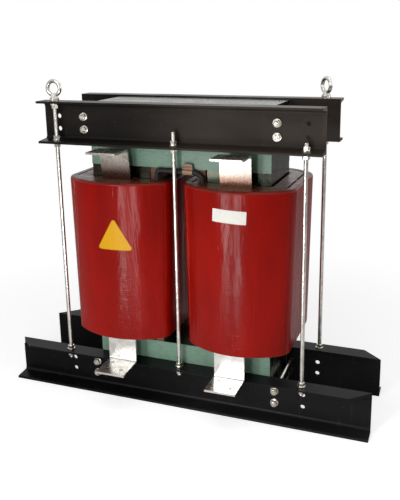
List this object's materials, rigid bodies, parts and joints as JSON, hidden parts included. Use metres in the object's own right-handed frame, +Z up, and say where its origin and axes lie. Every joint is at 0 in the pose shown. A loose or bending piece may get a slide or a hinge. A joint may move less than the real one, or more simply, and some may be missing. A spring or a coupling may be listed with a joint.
{
  "type": "dry type transformer",
  "caption": "Dry type power transformer: two cast resin windings on a laminated core, clamped between channel beams with tie rods, lifting eyes and flat terminal bars.",
  "frame": {"origin": "on the floor, under the middle of the whole transformer's box", "axes": "+X to the right along the beams, seen from the terminal side; -Y towards the terminal side; +Z up"},
  "size_m": [1.16, 0.4492, 0.993],
  "materials": {
    "core_steel": "varnished laminated steel",
    "sheet": "pale green satin sheet",
    "beam_paint": "black gloss paint",
    "rod_zinc": "zinc plated",
    "nut_zinc": "zinc plated",
    "washer_zinc": "zinc plated",
    "eye_zinc": "zinc plated, forged",
    "resin_outer": "gloss cast resin",
    "resin_inner": "gloss cast resin",
    "packing": "matte resin packing",
    "strip": "glass laminate strips",
    "block": "brown laminate blocks",
    "bar_aluminium": "bare rolled bar",
    "cable": "black sleeve",
    "lug": "bare copper lug"
  },
  "bodies": {
    "root": {"bore_strips_left": "strip", "bore_strips_right": "strip", "clamp_bolts_lower_left": "rod_zinc", "clamp_bolts_lower_right": "rod_zinc", "clamp_bolts_upper_left": "rod_zinc", "clamp_bolts_upper_right": "rod_zinc", "clamp_channel_lower_back": "beam_paint", "clamp_channel_lower_front": "beam_paint", "clamp_channel_upper_back": "beam_paint", "clamp_channel_upper_front": "beam_paint", "clamp_nuts_back": "nut_zinc", "clamp_nuts_front": "nut_zinc", "clamp_washers_back": "washer_zinc", "clamp_washers_front": "washer_zinc", "coil_link_cable": "cable", "coil_link_lug": "lug", "core_leg_left": "core_steel", "core_leg_right": "core_steel", "core_yoke_lower": "core_steel", "core_yoke_upper": "core_steel", "duct_packing_left": "packing", "duct_packing_right": "packing", "duct_strips_left": "strip", "duct_strips_right": "strip", "eye_nut_back_right": "eye_zinc", "eye_nut_front_left": "eye_zinc", "support_blocks_lower_left": "block", "support_blocks_lower_right": "block", "support_blocks_upper_left": "block", "support_blocks_upper_right": "block", "terminal_bar_lower_left": "bar_aluminium", "terminal_bar_lower_right": "bar_aluminium", "terminal_bar_upper_left": "bar_aluminium", "terminal_bar_upper_right": "bar_aluminium", "tie_rod_back_left": "rod_zinc", "tie_rod_back_middle": "rod_zinc", "tie_rod_back_right": "rod_zinc", "tie_rod_front_left": "rod_zinc", "tie_rod_front_middle": "rod_zinc", "tie_rod_front_right": "rod_zinc", "tie_rod_nuts_lower": "nut_zinc", "tie_rod_nuts_upper": "nut_zinc", "tie_rod_washers_lower": "washer_zinc", "tie_rod_washers_upper": "washer_zinc", "winding_inner_left": "resin_inner", "winding_inner_right": "resin_inner", "winding_outer_left": "resin_outer", "winding_outer_right": "resin_outer", "yoke_sheet_lower_back": "sheet", "yoke_sheet_lower_front": "sheet", "yoke_sheet_upper_back": "sheet", "yoke_sheet_upper_front": "sheet"}
  },
  "joints": []
}
